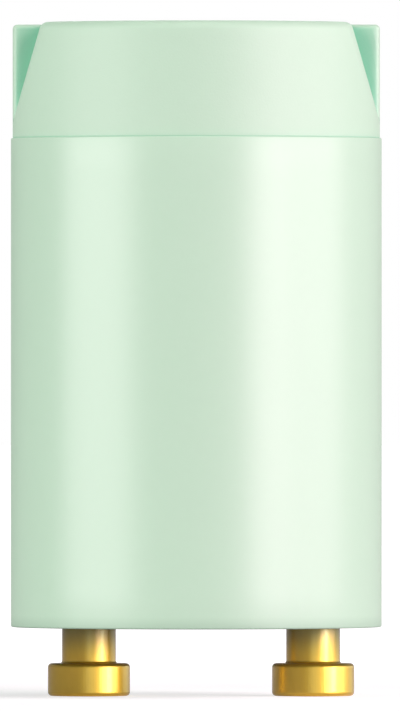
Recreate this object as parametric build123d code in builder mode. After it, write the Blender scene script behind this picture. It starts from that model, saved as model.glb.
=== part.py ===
from build123d import *
import os
from math import cos, isclose, radians, tan

# Fluorescent lamp starter: a moulded can with a grip collar, on two contact pins.
# Millimetres. +Z is up, the pins point down. The origin lies on the can's axis, in the
# plane of the pins' end faces. The pins stand side by side along X.

os.makedirs("parts", exist_ok=True)

# Can
can_diameter = 21.5
can_wall = 1.0
rim_level = 4.0
overall_height = 39.0
top_wall = 1.2
rim_edge_radius = 0.1

# Grip collar at the closed end of the can, set back by a small mould step
collar_height = 6.65
seam_step = 0.1
seam_edge_radius = 0.08
flat_inset = 1.72
flat_lean = 16.5
flat_edge_radius = 2.0
top_edge_radius = 0.5
rib_thickness = 2.4
rib_drop = 0.08
rib_side_radius = 0.3
rib_top_radius = 0.25
gate_diameter = 3.0
gate_depth = 0.25

# Mouth of the can, where the base disc snaps in
mouth_wall = 0.7
disc_recess = 0.5
disc_thickness = 1.8
disc_clearance = 0.08
disc_lead_in = 0.1
lug_count = 4
lug_arc = 20.0
lug_turn = 45.0
lug_depth = 0.3
lug_height = 0.4
lug_clearance = 0.03

# Contact pins, turned from brass rod and riveted over the base disc
pin_margin = 4.25
pin_pair_offset = 0.27
head_diameter = 4.76
head_height = 1.9
head_edge_radius = 0.23
neck_diameter = 3.12
neck_foot_radius = 0.15
shank_diameter = 2.3
shank_clearance = 0.05
rivet_diameter = 3.3
rivet_height = 0.4
rivet_edge_radius = 0.15
pin_bore_diameter = 1.7
pin_end_wall = 2.6

# Solder in the hollow shank of each pin
solder_gap = 0.02
solder_depth = 2.5
solder_height = 0.6
solder_foot_radius = 1.35
solder_top_radius = 0.75

# Wires
lead_diameter = 0.5
lead_bend_radius = 0.7
lead_depth = 2.0
lead_spacing = 0.7
run_height = 1.0

# Glow bulb, one fused glass piece
bulb_diameter = 8.4
bulb_headroom = 5.0
glass_wall = 0.6
press_lift = 0.75
press_width = 6.2
press_thickness = 2.4
press_corner_radius = 0.8
press_height = 3.2
shoulder_height = 2.6
tip_foot_radius = 1.8
tip_waist_radius = 0.9
tip_waist_height = 0.55
tip_height = 1.6
tip_flare = 0.4
bulb_floor = 0.8
bulb_lead_spacing = 3.0
wire_seal_gap = 0.02

# Electrodes inside the bulb
lead_reach = 2.6
weld_gap = 0.02
weld_length = 2.0
fixed_width = 1.8
fixed_thickness = 0.3
fixed_corner_radius = 0.45
fixed_below_dome = 2.7
bimetal_width = 2.0
bimetal_thickness = 0.25
bimetal_below_dome = 1.7
bimetal_bend_radius = 1.15
free_end_lift = 1.5

# Capacitor beside the bulb
capacitor_width = 9.0
capacitor_thickness = 4.2
capacitor_height = 13.0
capacitor_edge_radius = 1.0
capacitor_lead_spacing = 4.6

# Levels and reaches that follow from the sizes above
can_radius = can_diameter / 2
inner_radius = can_radius - can_wall
collar_radius = can_radius - seam_step
seam_level = overall_height - collar_height
ceiling_level = overall_height - top_wall
mouth_radius = can_radius - mouth_wall
disc_radius = mouth_radius - disc_clearance
disc_foot = rim_level + disc_recess
disc_top = disc_foot + disc_thickness
rivet_top = disc_top + rivet_height
solder_top = rivet_top + solder_height
run_level = solder_top + run_height
press_foot = run_level + lead_bend_radius + press_lift
press_top = press_foot + press_height
shoulder_top = press_top + shoulder_height
bulb_radius = bulb_diameter / 2
dome_top = ceiling_level - bulb_headroom - tip_height
dome_foot = dome_top - bulb_radius
floor_level = shoulder_top - bulb_floor
lead_top = floor_level + lead_reach
weld_foot = lead_top - weld_length
lead_radius = lead_diameter / 2
pin_places = {
    "left": pin_pair_offset - can_radius + pin_margin,
    "right": pin_pair_offset + can_radius - pin_margin,
}

# The bulb and the capacitor share the width of the can, with a like gap beside each
content_gap = (2 * inner_radius - bulb_diameter - capacitor_thickness) / 3
bulb_offset = inner_radius - content_gap - bulb_radius
capacitor_offset = inner_radius - content_gap - capacitor_thickness / 2
capacitor_foot = press_foot


def round_edges(builder, radius):
    """Circular edges of one radius, the lowest first."""
    circles = builder.edges().filter_by(GeomType.CIRCLE)
    return circles.filter_by(lambda edge: isclose(edge.radius, radius)).sort_by(Axis.Z)


def flat_distance(level, inset=0.0):
    """Distance from the axis, at a level, of a plane that lies inset behind a grip flat."""
    lean = radians(flat_lean)
    reach = collar_radius - flat_inset
    return reach + (overall_height - level) * tan(lean) - inset / cos(lean)


def between_flats(inset=0.0):
    """Block that the two leaning flats leave between them, each moved in by the inset."""
    high = overall_height + top_wall
    low = rim_level
    with BuildPart() as block:
        with BuildSketch(Plane.XZ):
            with BuildLine():
                Polyline(
                    (-flat_distance(high, inset), high),
                    (-flat_distance(low, inset), low),
                    (flat_distance(low, inset), low),
                    (flat_distance(high, inset), high),
                    close=True,
                )
            make_face()
        extrude(amount=can_diameter, both=True)
    return block.part


# Rib in the middle of both grip flats, as one plate across the collar
with BuildPart() as grip_rib:
    rib_top = overall_height - rib_drop
    with BuildSketch(Plane.XY.offset(seam_level)):
        Circle(collar_radius)
        Rectangle(can_diameter, rib_thickness, mode=Mode.INTERSECT)
    extrude(amount=rib_top - seam_level)
    fillet(grip_rib.edges().filter_by(Axis.Z), rib_side_radius)
    fillet(grip_rib.faces().sort_by(Axis.Z)[-1].edges(), rib_top_radius)

# Hollow of the can: it follows the collar inside, one wall behind its flats
with BuildPart() as hollow:
    with BuildSketch(Plane.XZ):
        with BuildLine():
            Polyline(
                (0, rim_level),
                (mouth_radius, rim_level),
                (mouth_radius, disc_top),
                (inner_radius, disc_top),
                (inner_radius, seam_level - can_wall),
                (collar_radius - can_wall, seam_level),
                (collar_radius - can_wall, ceiling_level),
                (0, ceiling_level),
                close=True,
            )
        make_face()
    revolve(axis=Axis.Z)
    add(between_flats(can_wall), mode=Mode.INTERSECT)
    fillet(hollow.faces().sort_by(Axis.Z)[-1].edges(), top_edge_radius)

# Snap lug: a short wedge inside the rim, which the base disc rides over
with BuildPart() as snap_lug:
    lug_top = disc_foot - lug_clearance
    with BuildSketch(Plane.XZ):
        with BuildLine():
            Polyline(
                (mouth_radius + mouth_wall / 2, lug_top),
                (mouth_radius - lug_depth, lug_top),
                (mouth_radius, lug_top - lug_height),
                (mouth_radius + mouth_wall / 2, lug_top - lug_height),
                close=True,
            )
        make_face()
    revolve(axis=Axis.Z, revolution_arc=lug_arc)

# Housing: collar, ribs and can in one moulding
with BuildPart() as housing:
    with BuildSketch(Plane.XY.offset(seam_level)):
        Circle(collar_radius)
    extrude(amount=overall_height - seam_level)
    add(between_flats(), mode=Mode.INTERSECT)
    flats = housing.faces().filter_by(GeomType.PLANE).filter_by(Axis.Z, reverse=True)
    fillet(flats.edges().filter_by(GeomType.LINE, reverse=True), flat_edge_radius)
    fillet(housing.faces().sort_by(Axis.Z)[-1].edges(), top_edge_radius)
    add(grip_rib.part)
    with BuildSketch(Plane.XY.offset(rim_level)):
        Circle(can_radius)
    extrude(amount=seam_level - rim_level)
    fillet(round_edges(housing, can_radius)[-1], seam_edge_radius)
    fillet(round_edges(housing, can_radius)[0], rim_edge_radius)
    add(hollow.part, mode=Mode.SUBTRACT)
    with PolarLocations(0, lug_count, start_angle=lug_turn - lug_arc / 2):
        add(snap_lug.part)
    with BuildSketch(Plane.XY.offset(overall_height)):
        Circle(gate_diameter / 2)
    extrude(amount=-gate_depth, mode=Mode.SUBTRACT)
housing.part.label = "housing"
export_step(housing.part, "parts/housing.step")

# Base disc: closes the mouth, seated on the ledge above and held by the lugs below
with BuildPart() as base_disc:
    with BuildSketch(Plane.XY.offset(disc_foot)):
        Circle(disc_radius)
        with Locations((pin_places["left"], 0), (pin_places["right"], 0)):
            Circle(shank_diameter / 2 + shank_clearance, mode=Mode.SUBTRACT)
    extrude(amount=disc_thickness)
    outer_edge = base_disc.faces().sort_by(Axis.Z)[-1].outer_wire().edges()
    chamfer(outer_edge, disc_lead_in)
base_disc.part.label = "base_disc"
export_step(base_disc.part, "parts/base_disc.step")


def contact_pin(place):
    """Turned pin: head, neck up to the disc, shank through it and a riveted flange."""
    axis = Axis((place, 0, 0), (0, 0, 1))
    with BuildPart() as pin:
        with BuildSketch(Plane(origin=(place, 0, 0), x_dir=(1, 0, 0), z_dir=(0, -1, 0))):
            with BuildLine():
                Polyline(
                    (0, 0),
                    (head_diameter / 2, 0),
                    (head_diameter / 2, head_height),
                    (neck_diameter / 2, head_height),
                    (neck_diameter / 2, disc_foot),
                    (shank_diameter / 2, disc_foot),
                    (shank_diameter / 2, disc_top),
                    (rivet_diameter / 2, disc_top),
                    (rivet_diameter / 2, rivet_top),
                    (pin_bore_diameter / 2, rivet_top),
                    (pin_bore_diameter / 2, pin_end_wall),
                    (0, pin_end_wall),
                    close=True,
                )
            make_face()
        revolve(axis=axis)
        fillet(round_edges(pin, head_diameter / 2), head_edge_radius)
        fillet(round_edges(pin, neck_diameter / 2)[0], neck_foot_radius)
        fillet(round_edges(pin, rivet_diameter / 2)[-1], rivet_edge_radius)
    return pin.part


def solder_joint(place):
    """Solder that fills the top of the shank and stands on the flange as a low cone."""
    joint_plane = Plane(origin=(place, 0, 0), x_dir=(1, 0, 0), z_dir=(0, -1, 0))
    plug_radius = pin_bore_diameter / 2 - solder_gap
    with BuildPart() as joint:
        with BuildSketch(joint_plane):
            with BuildLine():
                Polyline(
                    (0, rivet_top - solder_depth),
                    (plug_radius, rivet_top - solder_depth),
                    (plug_radius, rivet_top + solder_gap),
                    (solder_foot_radius, rivet_top + solder_gap),
                    (solder_top_radius, solder_top),
                    (0, solder_top),
                    close=True,
                )
            make_face()
        revolve(axis=Axis((place, 0, 0), (0, 0, 1)))
        with BuildSketch(Plane.XY.offset(rivet_top - lead_depth - solder_gap)):
            with Locations((place, lead_spacing / 2), (place, -lead_spacing / 2)):
                Circle(lead_radius + solder_gap)
        extrude(amount=lead_depth + solder_height + 2 * solder_gap, mode=Mode.SUBTRACT)
    return joint.part


for side, place in pin_places.items():
    pin = contact_pin(place)
    pin.label = "contact_pin_" + side
    export_step(pin, "parts/" + pin.label + ".step")
    solder = solder_joint(place)
    solder.label = "solder_" + side
    export_step(solder, "parts/" + solder.label + ".step")

# Glow bulb: drawn tube with a domed end and sealed tip, pressed flat at the foot
bulb_plane = Plane(origin=(0, bulb_offset, 0), x_dir=(1, 0, 0), z_dir=(0, -1, 0))
bulb_axis = Axis((0, bulb_offset, 0), (0, 0, 1))
bore_radius = bulb_radius - glass_wall
with BuildPart() as glow_bulb_glass:
    with BuildSketch(bulb_plane):
        with BuildLine():
            Line((0, shoulder_top), (bulb_radius, shoulder_top))
            Line((bulb_radius, shoulder_top), (bulb_radius, dome_foot))
            dome = CenterArc((0, dome_foot), bulb_radius, 0, 90)
            Line(dome @ 1, (0, shoulder_top))
        make_face()
    revolve(axis=bulb_axis)
    with BuildSketch(bulb_plane):
        with BuildLine():
            tip_foot = dome_top - glass_wall / 2
            tip_top = dome_top + tip_height
            Line((0, tip_foot), (tip_foot_radius, tip_foot))
            Spline(
                (tip_foot_radius, tip_foot),
                (tip_waist_radius, dome_top + tip_waist_height),
                (0, tip_top),
                tangents=((-1, tip_flare), (-1, 0)),
            )
            Line((0, tip_top), (0, tip_foot))
        make_face()
    revolve(axis=bulb_axis)
    with BuildSketch(Plane.XY.offset(press_top)):
        with Locations((0, bulb_offset)):
            RectangleRounded(press_width, press_thickness, press_corner_radius)
    with BuildSketch(Plane.XY.offset(shoulder_top)):
        with Locations((0, bulb_offset)):
            Circle(bulb_radius)
    loft()
    with BuildSketch(Plane.XY.offset(press_foot)):
        with Locations((0, bulb_offset)):
            RectangleRounded(press_width, press_thickness, press_corner_radius)
    extrude(amount=press_height)
    with BuildSketch(bulb_plane):
        with BuildLine():
            Line((0, floor_level), (bore_radius - glass_wall, floor_level))
            Line(
                (bore_radius - glass_wall, floor_level),
                (bore_radius, shoulder_top + glass_wall),
            )
            Line((bore_radius, shoulder_top + glass_wall), (bore_radius, dome_foot))
            vault = CenterArc((0, dome_foot), bore_radius, 0, 90)
            Line(vault @ 1, (0, floor_level))
        make_face()
    revolve(axis=bulb_axis, mode=Mode.SUBTRACT)
    with BuildSketch(Plane.XY.offset(press_foot)):
        with Locations((-bulb_lead_spacing / 2, bulb_offset), (bulb_lead_spacing / 2, bulb_offset)):
            Circle(lead_radius + wire_seal_gap)
    extrude(amount=floor_level - press_foot, mode=Mode.SUBTRACT)
glow_bulb_glass.part.label = "glow_bulb_glass"
export_step(glow_bulb_glass.part, "parts/glow_bulb_glass.step")


def lead(start, end_place, end_side):
    """Wire from a start point down, level across to a pin and down into its shank."""
    start_x, start_y, start_level = start
    end_y = end_side * lead_spacing / 2
    with BuildPart() as wire:
        with BuildLine():
            FilletPolyline(
                (start_x, start_y, start_level),
                (start_x, start_y, run_level),
                (end_place, end_y, run_level),
                (end_place, end_y, rivet_top - lead_depth),
                radius=lead_bend_radius,
            )
        with BuildSketch(Plane.XY.offset(start_level)):
            with Locations((start_x, start_y)):
                Circle(lead_radius)
        sweep()
    return wire.part


for side, sign in (("left", -1), ("right", 1)):
    bulb_lead = lead((sign * bulb_lead_spacing / 2, bulb_offset, lead_top), pin_places[side], 1)
    bulb_lead.label = "bulb_lead_" + side
    export_step(bulb_lead, "parts/" + bulb_lead.label + ".step")
    capacitor_start = (sign * capacitor_lead_spacing / 2, -capacitor_offset, capacitor_foot)
    capacitor_lead = lead(capacitor_start, pin_places[side], -1)
    capacitor_lead.label = "capacitor_lead_" + side
    export_step(capacitor_lead, "parts/" + capacitor_lead.label + ".step")

# Fixed electrode: flat strip welded along the inner side of the left bulb wire
with BuildPart() as fixed_electrode:
    fixed_face = -bulb_lead_spacing / 2 + lead_radius + weld_gap
    fixed_height = dome_foot - fixed_below_dome - weld_foot
    with BuildSketch(Plane.YZ.offset(fixed_face)):
        with Locations((bulb_offset, weld_foot + fixed_height / 2)):
            RectangleRounded(fixed_width, fixed_height, fixed_corner_radius)
    extrude(amount=fixed_thickness)
fixed_electrode.part.label = "fixed_electrode"
export_step(fixed_electrode.part, "parts/fixed_electrode.step")

# Bimetal strip: welded to the outer side of the right bulb wire, bent over in a U
with BuildPart() as bimetal_strip:
    weld_line = bulb_lead_spacing / 2 + lead_radius + weld_gap + bimetal_thickness / 2
    free_line = weld_line - 2 * bimetal_bend_radius
    bend_level = dome_foot - bimetal_below_dome
    with BuildSketch(bulb_plane):
        with BuildLine():
            Line((weld_line, weld_foot), (weld_line, bend_level))
            ThreePointArc(
                (weld_line, bend_level),
                (weld_line - bimetal_bend_radius, bend_level + bimetal_bend_radius),
                (free_line, bend_level),
            )
            Line((free_line, bend_level), (free_line, weld_foot + free_end_lift))
        trace(line_width=bimetal_thickness)
    extrude(amount=bimetal_width / 2, both=True)
bimetal_strip.part.label = "bimetal_strip"
export_step(bimetal_strip.part, "parts/bimetal_strip.step")

# Capacitor: flat oval winding dipped in resin, with both wires at its lower end
with BuildPart() as capacitor:
    with BuildSketch(Plane.XY.offset(capacitor_foot)):
        with Locations((0, -capacitor_offset)):
            SlotOverall(capacitor_width, capacitor_thickness)
    extrude(amount=capacitor_height)
    fillet(capacitor.edges().filter_by(Axis.Z, reverse=True), capacitor_edge_radius)
capacitor.part.label = "capacitor"
export_step(capacitor.part, "parts/capacitor.step")
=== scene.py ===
from math import asin, atan2, cos, pi, radians, sin, sqrt, tan

import bmesh
import bpy
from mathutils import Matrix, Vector


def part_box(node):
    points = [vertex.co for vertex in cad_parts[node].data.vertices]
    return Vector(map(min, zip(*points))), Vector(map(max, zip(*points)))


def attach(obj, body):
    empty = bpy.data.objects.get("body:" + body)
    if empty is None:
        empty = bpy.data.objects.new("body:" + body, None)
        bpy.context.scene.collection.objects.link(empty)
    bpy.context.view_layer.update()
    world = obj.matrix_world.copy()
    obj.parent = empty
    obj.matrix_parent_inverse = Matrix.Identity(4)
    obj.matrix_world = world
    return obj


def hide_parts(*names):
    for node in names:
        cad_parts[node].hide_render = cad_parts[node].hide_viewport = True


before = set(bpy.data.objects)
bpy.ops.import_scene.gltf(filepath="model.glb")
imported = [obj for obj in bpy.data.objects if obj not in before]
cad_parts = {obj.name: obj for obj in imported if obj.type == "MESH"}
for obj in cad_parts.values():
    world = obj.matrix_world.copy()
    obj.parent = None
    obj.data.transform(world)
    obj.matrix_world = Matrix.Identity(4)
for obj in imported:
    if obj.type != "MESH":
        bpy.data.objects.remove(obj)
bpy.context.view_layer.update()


# Housing: one injection moulding of pale mint-green plastic. The lower can is satin, and
# the grip collar above the mould step is duller, with two leaning flats and a rib in the
# middle of each. The base disc snaps in past four lugs inside the rim.
mm = 0.001
housing_low, housing_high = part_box("housing")
disc_low, disc_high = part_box("base_disc")
can_radius = housing_high.x
rim_level = housing_low.z
top_level = housing_high.z
can_wall = 1.0 * mm
mouth_wall = 0.7 * mm
rim_edge_radius = 0.1 * mm
seam_level = top_level - 6.65 * mm
seam_edge_radius = 0.08 * mm
groove_height = 0.045 * mm
groove_depth = 0.02 * mm
collar_radius = can_radius - 0.1 * mm
flat_reach = collar_radius - 1.72 * mm
flat_lean = radians(16.5)
flat_edge_radius = 2.0 * mm
top_edge_radius = 0.5 * mm
rib_half = 1.2 * mm
rib_top = top_level - 0.08 * mm
rib_side_radius = 0.3 * mm
rib_top_radius = 0.25 * mm
gate_radius = 1.5 * mm
gate_depth = 0.25 * mm
ceiling_level = top_level - 1.2 * mm
mouth_radius = can_radius - mouth_wall
lug_depth = 0.3 * mm
lug_height = 0.4 * mm
lug_top = disc_low.z - 0.03 * mm
lug_start = radians(35)
lug_end = radians(55)
hair = 0.001 * mm


def spread(first, last, count):
    """Even steps from the first value to the last, with both ends."""
    return [first + (last - first) * step / count for step in range(count + 1)]


def round_steps(first, last, count):
    """Levels on a quarter round, close together where the round turns level."""
    return [first + (last - first) * sin(turn) for turn in spread(0, pi / 2, count)]


def arc_reach(angle, centre_x, centre_y, radius):
    """Distance from the axis, along an angle, to the far side of an arc."""
    along = centre_x * cos(angle) + centre_y * sin(angle)
    return along + sqrt(along**2 - centre_x**2 - centre_y**2 + radius**2)


def outline_reach(angle, flat, outer, edge):
    """Distance from the axis to a circle with opposite flats and rounded edges."""
    if flat >= outer:
        return outer
    centre_x = flat - edge
    centre_y = sqrt((outer - edge) ** 2 - centre_x**2)
    if angle <= atan2(centre_y, flat):
        return flat / cos(angle)
    if angle >= atan2(centre_y, centre_x):
        return outer
    return arc_reach(angle, centre_x, centre_y, edge)


def round_inset(level, top, radius):
    """How far a rounded top edge has moved in at a level."""
    return radius - sqrt(max(radius**2 - max(level - top + radius, 0) ** 2, 0))


def flat_distance(level, wall, top, radius):
    """Distance from the axis of a grip flat, one wall in, rounded into its top face."""
    def plane(at_level, inset):
        return flat_reach + (top_level - at_level) * tan(flat_lean) - inset / cos(flat_lean)

    ball_level = top - radius
    if level <= ball_level + radius * sin(flat_lean):
        return plane(level, wall)
    rise = min(level - ball_level, radius)
    return plane(ball_level, wall + radius) + sqrt(radius**2 - rise**2)


def skin_reach(angle, level, wall):
    """Distance from the axis to the collar without its ribs, outside or one wall in."""
    top = ceiling_level if wall else top_level
    inset = round_inset(level, top, top_edge_radius)
    edge = 0 if wall else max(flat_edge_radius - inset, 0)
    flat = flat_distance(level, wall, top, top_edge_radius)
    return outline_reach(angle, flat, collar_radius - wall - inset, edge)


def rib_reach(angle, level):
    """Distance from the axis to the outline of a rib, or nothing above the rib."""
    if level > rib_top:
        return 0
    inset = round_inset(level, rib_top, rib_top_radius)
    half = rib_half - inset
    edge = rib_side_radius - inset
    centre_y = half - edge
    centre_x = sqrt((collar_radius - inset - edge) ** 2 - centre_y**2)
    if angle <= atan2(centre_y, centre_x):
        return collar_radius - inset
    if angle <= atan2(half, centre_x):
        return arc_reach(angle, centre_x, centre_y, edge)
    return half / sin(angle)


def crease_angle(level):
    """Angle at which the side of a rib meets the flat beside it."""
    level = min(level, rib_top - hair)
    low = radians(2)
    high = atan2(rib_half, flat_reach)
    if rib_reach(low, level) - skin_reach(low, level, 0) < hair:
        return atan2(rib_half, collar_radius)
    for step in range(40):
        middle = (low + high) / 2
        if rib_reach(middle, level) > skin_reach(middle, level, 0):
            low = middle
        else:
            high = middle
    return low


def column_angles(level):
    """Angles of a ring's points in all four quarters, closer beside the ribs and flats."""
    crease = crease_angle(max(level, seam_level + hair))
    rib_start = radians(3.2)
    beside = radians(12)
    rounded = radians(34)
    quarter = spread(0, rib_start, 4)
    quarter += spread(rib_start, crease, 16)[1:]
    quarter += spread(crease, beside, 8)[1:]
    quarter += spread(beside, rounded, 30)[1:]
    quarter += [lug_start - hair, lug_start]
    quarter += spread(lug_start, lug_end, 16)[1:]
    quarter += [lug_end + hair]
    quarter += spread(lug_end, pi / 2, 28)[1:]
    half_turn = quarter + [pi - angle for angle in reversed(quarter[:-1])]
    return half_turn[:-1] + [angle + pi for angle in half_turn[:-1]]


def ring(level, reach, columns=None):
    """Points of one ring: reach gives the distance from the axis, by angle off the X axis."""
    angles = column_angles(level if columns is None else columns)
    points = []
    for angle in angles:
        distance = reach(asin(min(abs(sin(angle)), 1)))
        points.append((distance * cos(angle), distance * sin(angle), level))
    return points


def circle_ring(level, radius):
    """Round ring with the columns of the seam."""
    return ring(level, lambda angle: radius, seam_level)


def collar_ring(level):
    """Ring round the collar with its flats and ribs."""
    return ring(level, lambda angle: max(skin_reach(angle, level, 0), rib_reach(angle, level)))


def top_ring(share):
    """Ring on the top face, a share of the way from the gate mark to the edge."""
    def reach(angle):
        return gate_radius + (skin_reach(angle, top_level, 0) - gate_radius) * share

    return ring(top_level, reach)


def mouth_ring(level, share):
    """Ring in the mouth of the can, where the lugs stand in by a share of their depth."""
    def reach(angle):
        on_lug = lug_start <= angle <= lug_end
        return mouth_radius - (lug_depth * share if on_lug else 0)

    return ring(level, reach, seam_level)


def hollow_ring(level, share=1.0):
    """Ring inside the collar, one wall behind its flats, or a share of it on the ceiling."""
    return ring(level, lambda angle: skin_reach(angle, level, can_wall) * share, seam_level)


def rounded_rings(level, radius, edge, upward, make):
    """Rings over a quarter round between a level face and a round wall."""
    rings = []
    for turn in spread(0, pi / 2, 5):
        rise = edge * (1 - cos(turn))
        inset = edge * (1 - sin(turn))
        rings.append(make(level + rise if upward else level - rise, radius - inset))
    return rings


def loft(name, rings):
    """Closed mesh through rings of like count, smooth but for its real edges."""
    shape = bmesh.new()
    rows = [[shape.verts.new(point) for point in points] for points in rings]
    count = len(rows[0])
    for upper, lower in zip(rows, rows[1:]):
        for column in range(count):
            following = (column + 1) % count
            shape.faces.new((upper[column], lower[column], lower[following], upper[following]))
    bmesh.ops.remove_doubles(shape, verts=shape.verts, dist=hair / 10)
    bmesh.ops.recalc_face_normals(shape, faces=shape.faces)
    for face in shape.faces:
        face.smooth = True
    for edge in shape.edges:
        edge.smooth = edge.calc_face_angle(0) < radians(32)
    mesh = bpy.data.meshes.new(name)
    shape.to_mesh(mesh)
    shape.free()
    piece = bpy.data.objects.new(name, mesh)
    bpy.context.scene.collection.objects.link(piece)
    return piece


collar_levels = set(round_steps(top_level - top_edge_radius, top_level, 12))
collar_levels |= set(round_steps(rib_top - rib_top_radius, rib_top - hair, 9))
collar_levels |= {rib_top + hair}
collar_levels |= set(spread(seam_level + groove_height, top_level - top_edge_radius, 22))
hollow_levels = spread(seam_level, ceiling_level - top_edge_radius, 10)
hollow_levels += round_steps(ceiling_level - top_edge_radius, ceiling_level, 6)[1:]

rings = [circle_ring(top_level - gate_depth, share * gate_radius) for share in (0, 0.5, 1)]
rings += [top_ring(share) for share in spread(0, 1, 6)]
rings += [collar_ring(level) for level in sorted(collar_levels, reverse=True)]
rings += [circle_ring(seam_level + groove_height, collar_radius - groove_depth)]
rings += [circle_ring(seam_level, collar_radius - groove_depth)]
rings += rounded_rings(seam_level, can_radius, seam_edge_radius, False, circle_ring)
rings += [circle_ring(level, can_radius) for level in spread(seam_level, rim_level, 14)[1:-1]]
rings += reversed(rounded_rings(rim_level, can_radius, rim_edge_radius, True, circle_ring))
rings += [mouth_ring(rim_level, 0), mouth_ring(lug_top - lug_height, 0)]
rings += [mouth_ring(lug_top - hair, 1), mouth_ring(lug_top, 0), mouth_ring(disc_high.z, 0)]
rings += [circle_ring(disc_high.z, can_radius - can_wall)]
rings += [circle_ring(seam_level - can_wall, can_radius - can_wall)]
rings += [hollow_ring(level) for level in hollow_levels]
rings += [hollow_ring(ceiling_level, share) for share in (0.6, 0.3, 0)]
housing = loft("moulded_housing", rings)


def add_node(tree, kind, inputs=None, **settings):
    """Adds a node, sets its properties, and feeds its inputs from sockets or values."""
    node = tree.nodes.new(kind)
    for name, value in settings.items():
        setattr(node, name, value)
    for key, value in (inputs or {}).items():
        if isinstance(value, bpy.types.NodeSocket):
            tree.links.new(value, node.inputs[key])
        else:
            node.inputs[key].default_value = value
    return node


def new_material(name):
    """Material with its node tree, its main shader and the place on the piece."""
    material = bpy.data.materials.new(name)
    material.use_nodes = True
    tree = material.node_tree
    place = add_node(tree, "ShaderNodeTexCoord").outputs["Object"]
    return material, tree, tree.nodes["Principled BSDF"], place


def noise(tree, place, scale, detail=2.0, roughness=0.5):
    """Noise texture of a scale, as a number about one half."""
    inputs = {"Vector": place, "Scale": scale, "Detail": detail, "Roughness": roughness}
    return add_node(tree, "ShaderNodeTexNoise", inputs).outputs["Fac"]


def number(tree, operation, first, second=0.0):
    """Arithmetic of two numbers or sockets."""
    return add_node(tree, "ShaderNodeMath", {0: first, 1: second}, operation=operation).outputs[0]


def between(tree, share, low, high):
    """Value from low to high as a share goes from 0 to 1."""
    inputs = {"Factor": share, "A": low, "B": high}
    return add_node(tree, "ShaderNodeMix", inputs, data_type="FLOAT").outputs["Result"]


def blend_colours(tree, share, first, second):
    """Colour between two colours, by a share."""
    node = add_node(tree, "ShaderNodeMix", {"Factor": share}, data_type="RGBA")
    node.inputs[6].default_value = (*first, 1)
    node.inputs[7].default_value = (*second, 1)
    return node.outputs[2]


def bump(tree, shader, height, distance, strength=1.0):
    """Fine relief on a shader: height is a share of the distance."""
    inputs = {"Height": height, "Distance": distance, "Strength": strength}
    normal = add_node(tree, "ShaderNodeBump", inputs).outputs["Normal"]
    tree.links.new(normal, shader.inputs["Normal"])


# Painted shade: the plastic is mixed to a deeper green in the corners beside the ribs, by an
# ambient occlusion mask that eases off at the seam, and darkens over the thin wall of the mouth
# towards the rim.
mint_pale = (0.510, 0.740, 0.560)
mint_deep = (0.495, 0.725, 0.545)
# Colours of the painted shade in the corners and above the rim
mint_painted_shade = (0.26, 0.62, 0.43)
mint_painted_rim_shade = (0.40, 0.61, 0.45)
painted_shade_reach = 10 * mm
painted_shade_open = 0.95
painted_shade_closed = 0.63
painted_shade_start = 0.5 * mm
painted_shade_at_seam = 0.5
rim_shade_band = 0.7 * mm
can_roughness = 0.37
collar_roughness = 0.5
mint_plastic, tree, shader, place = new_material("mint_plastic")
level = add_node(tree, "ShaderNodeSeparateXYZ", {"Vector": place}).outputs["Z"]
on_collar = number(tree, "GREATER_THAN", level, seam_level - hair)
cloud = noise(tree, place, 1600.0, 4.0, 0.6)
grain = noise(tree, place, 9000.0, 2.0)
flow = noise(tree, place, 700.0, 4.0, 0.6)
smudge = between(tree, cloud, -0.03, 0.03)
roughness = number(tree, "ADD", between(tree, on_collar, can_roughness, collar_roughness), smudge)
skin = blend_colours(tree, cloud, mint_deep, mint_pale)
# Painted shade: ambient occlusion darkens the colour in corners and creases.
shade_occlusion = add_node(tree, "ShaderNodeAmbientOcclusion", {"Distance": painted_shade_reach}, samples=8, only_local=True)
inputs = {"Value": shade_occlusion.outputs["AO"], "From Min": painted_shade_open, "From Max": painted_shade_closed}
painted_shade = add_node(tree, "ShaderNodeMapRange", inputs).outputs["Result"]
# The painted shade eases off toward the mould step.
inputs = {
    "Value": level,
    "From Min": seam_level + hair,
    "From Max": seam_level + painted_shade_start,
    "To Min": painted_shade_at_seam,
}
painted_shade_by_seam = add_node(tree, "ShaderNodeMapRange", inputs).outputs["Result"]
painted_shade = number(tree, "MULTIPLY", painted_shade, painted_shade_by_seam)
inputs = {"Factor": painted_shade, 6: skin, 7: (*mint_painted_shade, 1)}
skin = add_node(tree, "ShaderNodeMix", inputs, data_type="RGBA").outputs[2]
# Painted shade: the colour darkens over the band just above the rim.
inputs = {"Value": level, "From Min": rim_level + rim_shade_band, "From Max": rim_level}
rim_shade = add_node(tree, "ShaderNodeMapRange", inputs).outputs["Result"]
inputs = {"Factor": rim_shade, 6: skin, 7: (*mint_painted_rim_shade, 1)}
skin = add_node(tree, "ShaderNodeMix", inputs, data_type="RGBA").outputs[2]
tree.links.new(skin, shader.inputs["Base Color"])
tree.links.new(roughness, shader.inputs["Roughness"])
relief = number(tree, "MULTIPLY", grain, between(tree, on_collar, 0.15, 1.0))
relief = number(tree, "ADD", relief, number(tree, "MULTIPLY", flow, 0.25))
bump(tree, shader, relief, 0.006 * mm)
shader.inputs["IOR"].default_value = 1.56
shader.inputs["Specular IOR Level"].default_value = 0.9
shader.inputs["Subsurface Weight"].default_value = 0.1
shader.inputs["Subsurface Radius"].default_value = (1.0, 1.3, 1.1)
shader.inputs["Subsurface Scale"].default_value = 0.6 * mm
housing.data.materials.append(mint_plastic)
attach(housing, "root")
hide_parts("housing")
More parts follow.
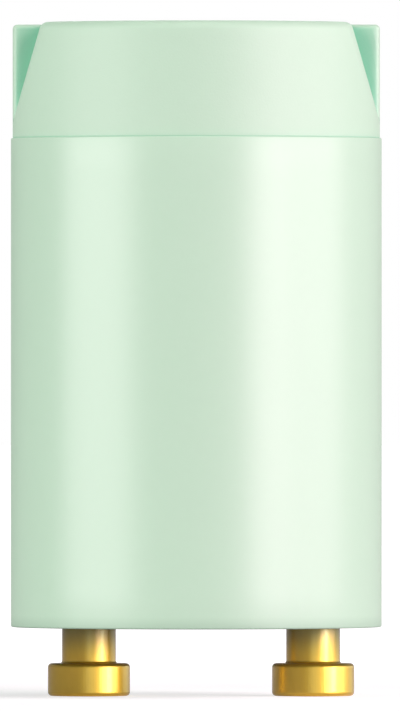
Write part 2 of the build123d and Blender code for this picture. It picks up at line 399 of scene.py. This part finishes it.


# Contact pins: turned from brass rod, with a wide head, a neck up to the base disc and a
# hollow shank through it, whose end is spread into a flange over the disc. The neck has
# painted shade: its colour darkens toward the disc.
head_radius = 2.38 * mm
head_height = 1.9 * mm
head_edge_radius = 0.23 * mm
neck_radius = 1.56 * mm
neck_foot_radius = 0.15 * mm
shank_radius = 1.15 * mm
flange_radius = 1.65 * mm
flange_edge_radius = 0.15 * mm
bore_radius = 0.85 * mm
end_wall = 2.6 * mm
# Levels and colour of the painted shade that darkens the neck toward the disc
neck_shade_start = 1.9 * mm
neck_shade_end = 4.1 * mm
neck_shade_share = 0.9
brass_bright = (0.95, 0.61, 0.03)
brass_deep = (0.81, 0.48, 0.015)
brass_painted_shade = (0.20, 0.18, 0.04)
pin_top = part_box("contact_pin_left")[1].z
pin_profile = [
    (0, 0, 0),
    (head_radius, 0, head_edge_radius),
    (head_radius, head_height, head_edge_radius),
    (neck_radius, head_height, neck_foot_radius),
    (neck_radius, disc_low.z, 0),
    (shank_radius, disc_low.z, 0),
    (shank_radius, disc_high.z, 0),
    (flange_radius, disc_high.z, 0),
    (flange_radius, pin_top, flange_edge_radius),
    (bore_radius, pin_top, 0),
    (bore_radius, end_wall, 0),
    (0, end_wall, 0),
]


def turned_tree():
    """Geometry nodes that turn a profile curve about an upright axis into a solid."""
    tree = bpy.data.node_groups.new("turned_part", "GeometryNodeTree")
    face = tree.interface
    face.new_socket("Profile", in_out="INPUT", socket_type="NodeSocketGeometry")
    face.new_socket("Segments", in_out="INPUT", socket_type="NodeSocketInt")
    face.new_socket("Round Steps", in_out="INPUT", socket_type="NodeSocketInt")
    face.new_socket("Axis Place", in_out="INPUT", socket_type="NodeSocketVector")
    face.new_socket("Sharp Angle", in_out="INPUT", socket_type="NodeSocketFloat")
    face.new_socket("Material", in_out="INPUT", socket_type="NodeSocketMaterial")
    face.new_socket("Solid", in_out="OUTPUT", socket_type="NodeSocketGeometry")
    given = add_node(tree, "NodeGroupInput").outputs
    corner = add_node(tree, "GeometryNodeInputRadius").outputs["Radius"]
    inputs = {"Curve": given["Profile"], "Radius": corner, "Count": given["Round Steps"]}
    profile = add_node(tree, "GeometryNodeFilletCurve", inputs, mode="POLY").outputs["Curve"]
    size = add_node(tree, "GeometryNodeAttributeDomainSize", {"Geometry": profile}, component="CURVE")
    rows = size.outputs["Point Count"]
    columns = number(tree, "ADD", given["Segments"], 1)
    inputs = {"Size X": 1.0, "Size Y": 1.0, "Vertices X": columns, "Vertices Y": rows}
    sheet = add_node(tree, "GeometryNodeMeshGrid", inputs).outputs["Mesh"]
    spot = add_node(tree, "GeometryNodeInputPosition").outputs["Position"]
    apart = add_node(tree, "ShaderNodeSeparateXYZ", {"Vector": spot}).outputs
    turn = number(tree, "MULTIPLY", apart["X"], 2 * pi)
    share = number(tree, "ADD", apart["Y"], 0.5)
    row = number(tree, "MULTIPLY", share, number(tree, "SUBTRACT", rows, 1))
    inputs = {"Geometry": profile, "Value": spot, "Index": number(tree, "ROUND", row)}
    sampled = add_node(tree, "GeometryNodeSampleIndex", inputs, data_type="FLOAT_VECTOR")
    drawn = add_node(tree, "ShaderNodeSeparateXYZ", {"Vector": sampled.outputs["Value"]}).outputs
    inputs = {
        "X": number(tree, "MULTIPLY", drawn["X"], number(tree, "COSINE", turn)),
        "Y": number(tree, "MULTIPLY", drawn["X"], number(tree, "SINE", turn)),
        "Z": drawn["Z"],
    }
    turned = add_node(tree, "ShaderNodeCombineXYZ", inputs).outputs["Vector"]
    inputs = {0: turned, 1: given["Axis Place"]}
    placed = add_node(tree, "ShaderNodeVectorMath", inputs, operation="ADD").outputs["Vector"]
    solid = add_node(tree, "GeometryNodeSetPosition", {"Geometry": sheet, "Position": placed})
    inputs = {"Geometry": solid.outputs["Geometry"], "Distance": hair / 10}
    solid = add_node(tree, "GeometryNodeMergeByDistance", inputs)
    angle = add_node(tree, "GeometryNodeInputMeshEdgeAngle").outputs["Unsigned Angle"]
    soft = number(tree, "LESS_THAN", angle, given["Sharp Angle"])
    inputs = {"Geometry": solid.outputs["Geometry"], "Shade Smooth": soft}
    solid = add_node(tree, "GeometryNodeSetShadeSmooth", inputs, domain="EDGE")
    solid = add_node(tree, "GeometryNodeRealizeInstances", {"Geometry": solid.outputs["Geometry"]})
    inputs = {"Geometry": solid.outputs["Geometry"], "Material": given["Material"]}
    solid = add_node(tree, "GeometryNodeSetMaterial", inputs)
    add_node(tree, "NodeGroupOutput", {"Solid": solid.outputs["Geometry"]})
    return tree


def plain_mesh(maker, tree, values):
    """Runs a tree on an object with its inputs set by name, and keeps the plain mesh."""
    modifier = maker.modifiers.new(tree.name, "NODES")
    modifier.node_group = tree
    for socket in tree.interface.items_tree:
        if socket.in_out == "INPUT" and socket.name in values:
            modifier[socket.identifier] = values[socket.name]
    graph = bpy.context.evaluated_depsgraph_get()
    mesh = bpy.data.meshes.new_from_object(maker.evaluated_get(graph))
    mesh.name = maker.name
    maker.modifiers.remove(modifier)
    bpy.data.objects.remove(maker)
    return mesh


def turned_piece(name, profile, place, material):
    """Solid turned from a profile of radius, level and corner radius at each point."""
    curve = bpy.data.curves.new(name, "CURVE")
    curve.dimensions = "3D"
    line = curve.splines.new("POLY")
    line.points.add(len(profile) - 1)
    for point, (radius, level, corner) in zip(line.points, profile):
        point.co = (radius, 0, level, 1)
        point.radius = corner
    maker = bpy.data.objects.new(name + "_profile", curve)
    bpy.context.scene.collection.objects.link(maker)
    values = {
        "Segments": 96,
        "Round Steps": 6,
        "Axis Place": place,
        "Sharp Angle": radians(32),
        "Material": material,
    }
    mesh = plain_mesh(maker, turning, values)
    shape = bmesh.new()
    shape.from_mesh(mesh)
    bmesh.ops.recalc_face_normals(shape, faces=shape.faces)
    shape.to_mesh(mesh)
    shape.free()
    piece = bpy.data.objects.new(name, mesh)
    bpy.context.scene.collection.objects.link(piece)
    return piece


def turned_brass(name, place_x):
    """Brass with fine turning lines round the pin's own axis, a light tarnish, and painted shade on the
    neck toward the disc.
    """
    material, tree, shader, place = new_material(name)
    inputs = {"Vector": place, "Location": (-place_x, 0, 0)}
    centred = add_node(tree, "ShaderNodeMapping", inputs).outputs["Vector"]
    apart = add_node(tree, "ShaderNodeSeparateXYZ", {"Vector": centred}).outputs
    flat = add_node(tree, "ShaderNodeCombineXYZ", {"X": apart["X"], "Y": apart["Y"]}).outputs[0]
    reach = add_node(tree, "ShaderNodeVectorMath", {0: flat}, operation="LENGTH").outputs["Value"]
    lathe = add_node(tree, "ShaderNodeCombineXYZ", {"X": reach, "Z": apart["Z"]}).outputs[0]
    lines = noise(tree, lathe, 14000.0, 3.0, 0.6)
    cloud = noise(tree, place, 900.0, 4.0, 0.6)
    tarnish = number(tree, "MULTIPLY", cloud, 0.6)
    colour = blend_colours(tree, tarnish, brass_bright, brass_deep)
    # Painted shade: the colour darkens from the head up the neck toward the disc.
    inputs = {"Value": apart["Z"], "From Min": neck_shade_start, "From Max": neck_shade_end, "To Max": neck_shade_share}
    neck_shade = add_node(tree, "ShaderNodeMapRange", inputs, interpolation_type="SMOOTHSTEP")
    inputs = {"Factor": neck_shade.outputs["Result"], 6: colour, 7: (*brass_painted_shade, 1)}
    colour = add_node(tree, "ShaderNodeMix", inputs, data_type="RGBA").outputs[2]
    tree.links.new(colour, shader.inputs["Base Color"])
    wear = number(tree, "ADD", between(tree, cloud, 0.34, 0.42), between(tree, lines, -0.03, 0.03))
    tree.links.new(wear, shader.inputs["Roughness"])
    bump(tree, shader, lines, 0.0015 * mm)
    shader.inputs["Metallic"].default_value = 1.0
    shader.inputs["Coat Weight"].default_value = 1.0
    shader.inputs["Coat Roughness"].default_value = 0.25
    shader.inputs["Coat IOR"].default_value = 1.75
    return material


turning = turned_tree()
pins = []
for side in ("left", "right"):
    node = "contact_pin_" + side
    pin_low, pin_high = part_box(node)
    pin_x = (pin_low.x + pin_high.x) / 2
    brass = turned_brass("brass_" + side, pin_x)
    pin = turned_piece("turned_pin_" + side, pin_profile, (pin_x, 0, 0), brass)
    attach(pin, "root")
    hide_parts(node)
    pins.append(pin)


# Base disc: pressed insulating board that closes the mouth of the can and carries the
# pins. It is seated on the ledge inside and held by the lugs below.
pressboard, tree, shader, place = new_material("pressboard")
fibre = add_node(tree, "ShaderNodeMapping", {"Vector": place, "Scale": (1, 3, 1)}).outputs["Vector"]
fibres = noise(tree, fibre, 2500.0, 5.0, 0.65)
board = blend_colours(tree, fibres, (0.50, 0.53, 0.48), (0.66, 0.68, 0.63))
tree.links.new(board, shader.inputs["Base Color"])
tree.links.new(between(tree, fibres, 0.62, 0.82), shader.inputs["Roughness"])
bump(tree, shader, fibres, 0.02 * mm)
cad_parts["base_disc"].data.materials.clear()
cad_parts["base_disc"].data.materials.append(pressboard)


# Glow bulb: drawn glass tube, pressed flat round its wires at the foot and drawn to a
# sealed tip at the top. It is clear, a little green in the thick parts.
bulb_glass, tree, shader, place = new_material("bulb_glass")
ripple = noise(tree, place, 400.0, 2.0)
bump(tree, shader, ripple, 0.02 * mm)
tree.links.new(between(tree, ripple, 0.02, 0.05), shader.inputs["Roughness"])
shader.inputs["Base Color"].default_value = (0.93, 0.97, 0.94, 1)
shader.inputs["Transmission Weight"].default_value = 1.0
shader.inputs["IOR"].default_value = 1.5
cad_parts["glow_bulb_glass"].data.materials.clear()
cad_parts["glow_bulb_glass"].data.materials.append(bulb_glass)


# Wires, strips, solder and capacitor: drawn nickel wire and rolled strips in the bulb,
# tinned wire and a resin-dipped winding beside it, soldered into the hollow shanks.
def drawn_metal(name, bright, dark, rough, stretch):
    """Bare metal with fine lines along Z, lighter and darker in streaks."""
    material, tree, shader, place = new_material(name)
    inputs = {"Vector": place, "Scale": stretch}
    streaks = noise(tree, add_node(tree, "ShaderNodeMapping", inputs).outputs["Vector"], 3000.0, 3.0)
    tree.links.new(blend_colours(tree, streaks, dark, bright), shader.inputs["Base Color"])
    tree.links.new(between(tree, streaks, rough - 0.08, rough + 0.08), shader.inputs["Roughness"])
    bump(tree, shader, streaks, 0.004 * mm)
    shader.inputs["Metallic"].default_value = 1.0
    return material


def dipped_resin(name):
    """Glossy ochre resin with a slow flow and small pits."""
    material, tree, shader, place = new_material(name)
    flow = noise(tree, place, 350.0, 3.0)
    pits = noise(tree, place, 4000.0, 2.0)
    ochre = blend_colours(tree, flow, (0.50, 0.24, 0.05), (0.62, 0.33, 0.08))
    tree.links.new(ochre, shader.inputs["Base Color"])
    tree.links.new(between(tree, flow, 0.16, 0.30), shader.inputs["Roughness"])
    bump(tree, shader, number(tree, "ADD", flow, number(tree, "MULTIPLY", pits, 0.2)), 0.03 * mm)
    return material


along_z = (1, 1, 0.1)
even = (1, 1, 1)
nickel = drawn_metal("nickel_wire", (0.66, 0.62, 0.56), (0.46, 0.43, 0.39), 0.32, along_z)
tinned = drawn_metal("tinned_wire", (0.74, 0.74, 0.73), (0.58, 0.58, 0.58), 0.30, along_z)
strip_steel = drawn_metal("strip_steel", (0.56, 0.55, 0.53), (0.40, 0.39, 0.38), 0.38, along_z)
bimetal = drawn_metal("bimetal_strip", (0.62, 0.56, 0.48), (0.45, 0.40, 0.34), 0.34, along_z)
solder = drawn_metal("soft_solder", (0.62, 0.63, 0.65), (0.42, 0.43, 0.45), 0.42, even)
inner_finish = {
    "bulb_lead_left": nickel,
    "bulb_lead_right": nickel,
    "fixed_electrode": strip_steel,
    "bimetal_strip": bimetal,
    "capacitor": dipped_resin("dipped_resin"),
    "capacitor_lead_left": tinned,
    "capacitor_lead_right": tinned,
    "solder_left": solder,
    "solder_right": solder,
}
for node, material in inner_finish.items():
    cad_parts[node].data.materials.clear()
    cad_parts[node].data.materials.append(material)


# Studio: a pale floor in a white room. Low strips at the left and right draw the gleams down
# the can, and high soft lamps and one behind light it evenly. Three cards light the brass
# only, and the lamps at the left and behind light only the can and what is in it.
lamp_distance = 0.9
strip_level = 0.08
strip_height = 0.18
soft_level = 0.40
soft_height = 0.50
back_distance = 0.7
back_level = 0.45
back_size = 0.3
back_power = 5.5
middle_level = housing_high.z / 2
left_colour = (1.0, 0.93, 0.94)
right_colour = (1.0, 0.83, 0.90)
card_colour = (0.88, 1.0, 1.0)
back_colour = (1.0, 0.96, 0.98)


def area_lamp(name, azimuth, distance, level, width, height, power, colour):
    """Rectangular lamp that faces the part; its azimuth is in degrees from the camera's side."""
    light = bpy.data.lights.new(name, "AREA")
    light.shape = "RECTANGLE"
    light.size = width
    light.size_y = height
    light.energy = power
    light.color = colour
    lamp = bpy.data.objects.new(name, light)
    turn = radians(azimuth)
    lamp.location = (distance * sin(turn), -distance * cos(turn), level)
    aim = Vector((0, 0, middle_level)) - lamp.location
    lamp.rotation_euler = aim.to_track_quat("-Z", "Y").to_euler()
    bpy.context.scene.collection.objects.link(lamp)
    return lamp


def strip_lamp(name, azimuth, width, power, colour):
    """Low strip that shows in the gloss of the part."""
    return area_lamp(name, azimuth, lamp_distance, strip_level, width, strip_height, power, colour)


def soft_lamp(name, azimuth, width, power, colour):
    """High soft lamp that is kept out of the gloss."""
    lamp = area_lamp(name, azimuth, lamp_distance, soft_level, width, soft_height, power, colour)
    lamp.visible_glossy = False
    return lamp


lit_from_left = bpy.data.collections.new("lit_from_left")
lit_from_left.objects.link(housing)
for node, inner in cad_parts.items():
    if not node.startswith(("housing", "contact_pin")):
        lit_from_left.objects.link(inner)
lit_by_cards = bpy.data.collections.new("lit_by_cards")
for pin in pins:
    lit_by_cards.objects.link(pin)

# Azimuth, width and power of each lamp
left_strips = [(-74, 0.44, 1.75), (-50, 0.31, 1.35)]
left_soft = [(-60, 0.70, 6.5)]
right_strips = [(46, 0.42, 2.3), (70, 0.31, 1.0), (90, 0.31, 0.9)]
right_soft = [(50, 0.31, 4.2), (80, 0.62, 5.0)]
pin_cards = [(9, 0.6, 0.5), (60, 0.12, 1.4), (122, 0.8, 0.5)]
for azimuth, width, power in left_strips:
    lamp = strip_lamp("strip_left", azimuth, width, power, left_colour)
    lamp.light_linking.receiver_collection = lit_from_left
for azimuth, width, power in left_soft:
    lamp = soft_lamp("soft_left", azimuth, width, power, left_colour)
    lamp.light_linking.receiver_collection = lit_from_left
for azimuth, width, power in right_strips:
    strip_lamp("strip_right", azimuth, width, power, right_colour)
for azimuth, width, power in pin_cards:
    lamp = strip_lamp("card_right", azimuth, width, power, card_colour)
    lamp.light_linking.receiver_collection = lit_by_cards
for azimuth, width, power in right_soft:
    soft_lamp("soft_right", azimuth, width, power, right_colour)
lamp = area_lamp("lamp_back", 180, back_distance, back_level, back_size, back_size, back_power, back_colour)
lamp.visible_glossy = False
lamp.light_linking.receiver_collection = lit_from_left

# The room is white to the camera, dim on the part, and pale behind it in its gloss.
room_light = 0.10
room_gloss = 0.25
backdrop_gloss = 0.5
backdrop_edge = 0.955
backdrop_full = 0.985
world = bpy.data.worlds.new("studio_room")
bpy.context.scene.world = world
world.use_nodes = True
world.cycles.sampling_method = "NONE"
tree = world.node_tree
path = add_node(tree, "ShaderNodeLightPath").outputs
toward = add_node(tree, "ShaderNodeTexCoord").outputs["Generated"]
depth = add_node(tree, "ShaderNodeSeparateXYZ", {"Vector": toward}).outputs["Y"]
inputs = {"Value": depth, "From Min": backdrop_edge, "From Max": backdrop_full}
backdrop = add_node(tree, "ShaderNodeMapRange", inputs).outputs["Result"]
mirrored = number(tree, "MAXIMUM", path["Is Glossy Ray"], path["Is Transmission Ray"])
gloss = between(tree, backdrop, room_gloss, backdrop_gloss)
light = between(tree, mirrored, room_light, gloss)
light = between(tree, path["Is Camera Ray"], light, 1.0)
tree.links.new(light, tree.nodes["Background"].inputs["Strength"])
tree.nodes["Background"].inputs["Color"].default_value = (1, 1, 1, 1)

# The floor keeps the shadow near the part and turns white a little further off.
floor_size = 3.0
floor_grey = 0.6
shadow_reach = 0.03
white_reach = 0.13
white_by_part = 0.70
gloss_reach = (0.1, 0.6)
gloss_near = 0.20
gloss_far = 0.05
shape = bmesh.new()
bmesh.ops.create_grid(shape, x_segments=1, y_segments=1, size=floor_size)
floor_mesh = bpy.data.meshes.new("floor")
shape.to_mesh(floor_mesh)
shape.free()
floor = bpy.data.objects.new("floor", floor_mesh)
bpy.context.scene.collection.objects.link(floor)
white_floor, tree, shader, place = new_material("white_floor")
shader.inputs["Base Color"].default_value = (floor_grey, floor_grey, floor_grey, 1)
shader.inputs["Roughness"].default_value = 0.9
shader.inputs["Specular IOR Level"].default_value = 0.0
shader.inputs["Emission Color"].default_value = (1, 1, 1, 1)
path = add_node(tree, "ShaderNodeLightPath").outputs
mirrored = number(tree, "MAXIMUM", path["Is Glossy Ray"], path["Is Transmission Ray"])
reach = add_node(tree, "ShaderNodeVectorMath", {0: place}, operation="LENGTH").outputs["Value"]
inputs = {"Value": reach, "From Min": shadow_reach, "From Max": white_reach, "To Min": white_by_part}
white_share = add_node(tree, "ShaderNodeMapRange", inputs).outputs["Result"]
inputs = {
    "Value": reach,
    "From Min": gloss_reach[0],
    "From Max": gloss_reach[1],
    "To Min": gloss_near,
    "To Max": gloss_far,
}
mirror_share = add_node(tree, "ShaderNodeMapRange", inputs).outputs["Result"]
shown = number(tree, "MULTIPLY", path["Is Camera Ray"], white_share)
mirrored = number(tree, "MULTIPLY", mirrored, mirror_share)
tree.links.new(number(tree, "ADD", shown, mirrored), shader.inputs["Emission Strength"])
floor_mesh.materials.append(white_floor)


# Camera: far off with a long lens and level with the middle of the part, so that the axis
# and the foot of the part stand at the photograph's own column and row.
pixels_per_mm = 17.285
photo_height = 711
photo_width = 400
axis_column = 196.3
foot_row = 696.7
lens = 940
sensor = 36
near_side_ease = 1.0025
view_height = photo_height / pixels_per_mm * mm * near_side_ease
camera_data = bpy.data.cameras.new("camera")
camera_data.sensor_width = sensor
camera_data.lens = lens
camera_data.clip_end = 100
camera = bpy.data.objects.new("camera", camera_data)
aim_x = (photo_width / 2 - axis_column) / pixels_per_mm * mm
aim_z = (foot_row - photo_height / 2) / pixels_per_mm * mm
camera.location = (aim_x, -view_height * lens / sensor, aim_z)
camera.rotation_euler = (pi / 2, 0, 0)
bpy.context.scene.collection.objects.link(camera)
bpy.context.scene.camera = camera
bpy.context.scene.view_settings.view_transform = "Standard"
